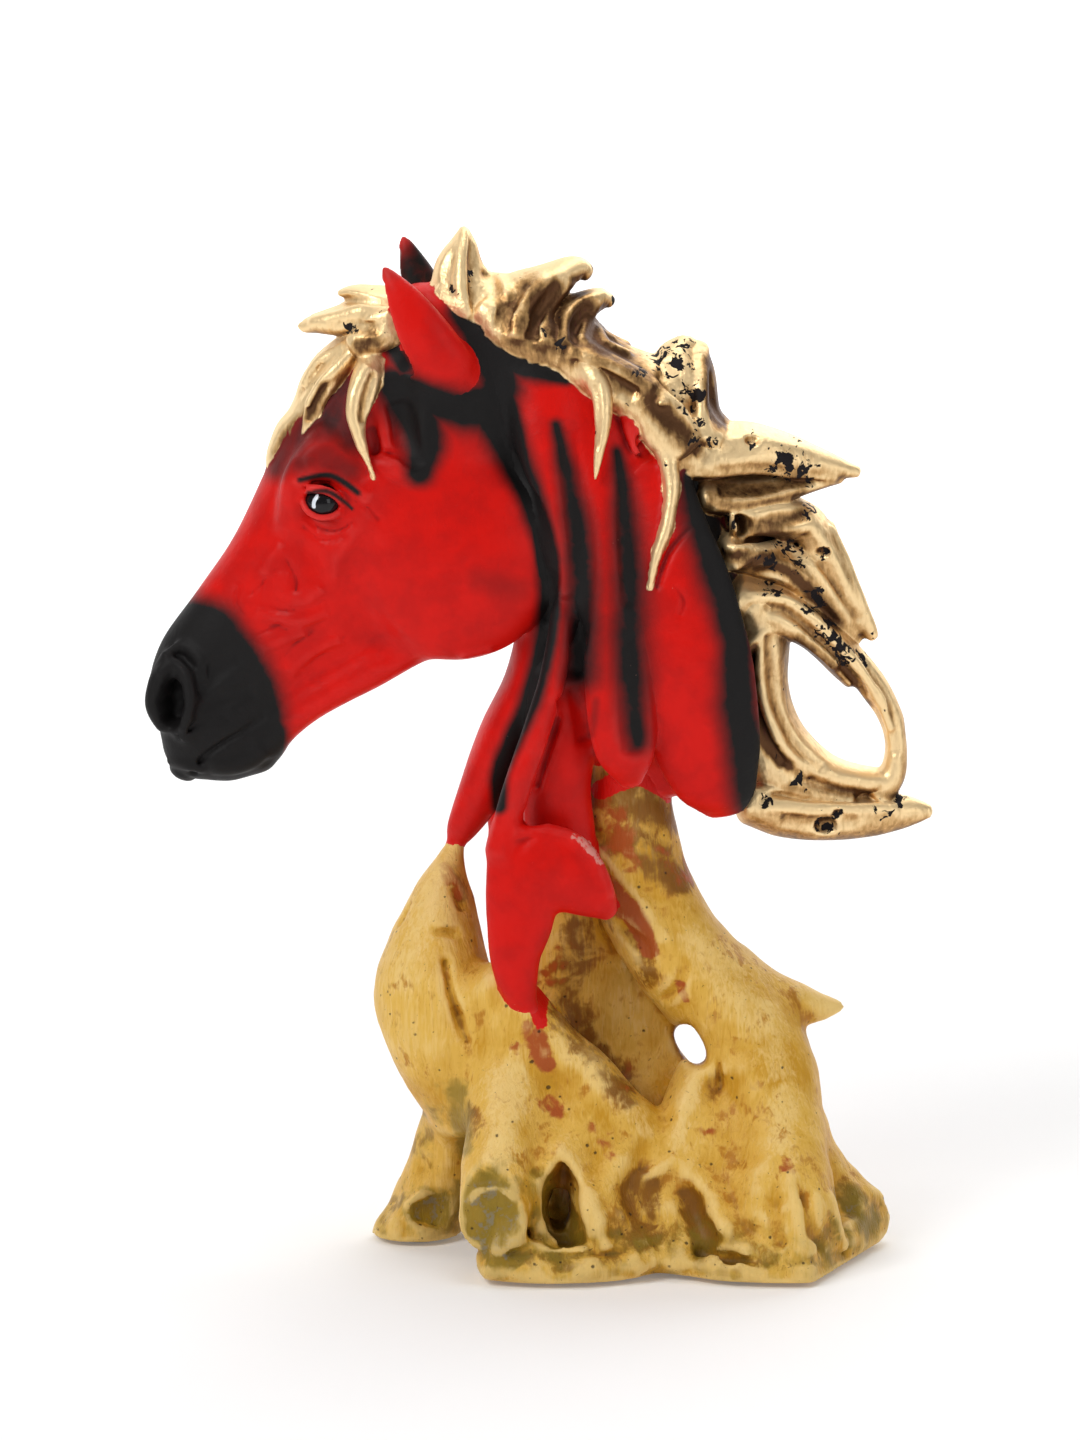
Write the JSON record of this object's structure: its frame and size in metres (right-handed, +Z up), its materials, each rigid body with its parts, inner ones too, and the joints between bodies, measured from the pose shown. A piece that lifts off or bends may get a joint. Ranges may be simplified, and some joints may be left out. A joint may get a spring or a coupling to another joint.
{
  "type": "horse bust statue",
  "caption": "Free-standing cast resin horse bust in red and black with a gilded flame-like mane, on a hollowed driftwood-look base that rests on felt pads.",
  "frame": {"origin": "centre of the middle felt pad's underside, on the surface the statue stands on", "axes": "+Z up, -X the way the horse faces, -Y the show side"},
  "size_m": [0.2033, 0.0884, 0.2666],
  "materials": {
    "driftwood_resin": "cast resin painted as weathered driftwood, satin",
    "red_paint": "cast resin, red satin lacquer with airbrushed black shading",
    "black_paint": "cast resin, airbrushed matt black over red",
    "gilt": "cast resin, gold paint worn to a dark ground in the grooves",
    "eye_gloss": "black gloss enamel",
    "felt": "black felt",
    "steel": "plain drawn rod"
  },
  "bodies": {
    "root": {"driftwood_base": "driftwood_resin", "felt_pads": "felt", "armature_rod": "steel", "neck": "red_paint", "head": "red_paint", "head_pin": "steel", "near_eye": "eye_gloss", "far_eye": "eye_gloss", "near_ear": "red_paint", "far_ear": "red_paint", "front_ribbon": "black_paint", "near_flap": "red_paint", "far_flap": "red_paint", "near_tongue": "red_paint", "far_tongue": "red_paint", "near_shoulder": "red_paint", "far_shoulder": "red_paint", "forelock_crown": "gilt", "forelock_brow": "gilt", "forelock_near": "gilt", "forelock_far": "gilt", "mane_poll_tuft": "gilt", "mane_front_tuft": "gilt", "mane_middle_tuft": "gilt", "mane_rear_tuft": "gilt", "mane_long_lock": "gilt", "mane_rear_lock": "gilt", "mane_loop_lock": "gilt", "mane_root_lock": "gilt", "mane_tail": "gilt", "near_front_strand": "gilt", "near_back_strand": "gilt", "far_front_strand": "gilt", "far_back_strand": "gilt"}
  },
  "joints": []
}
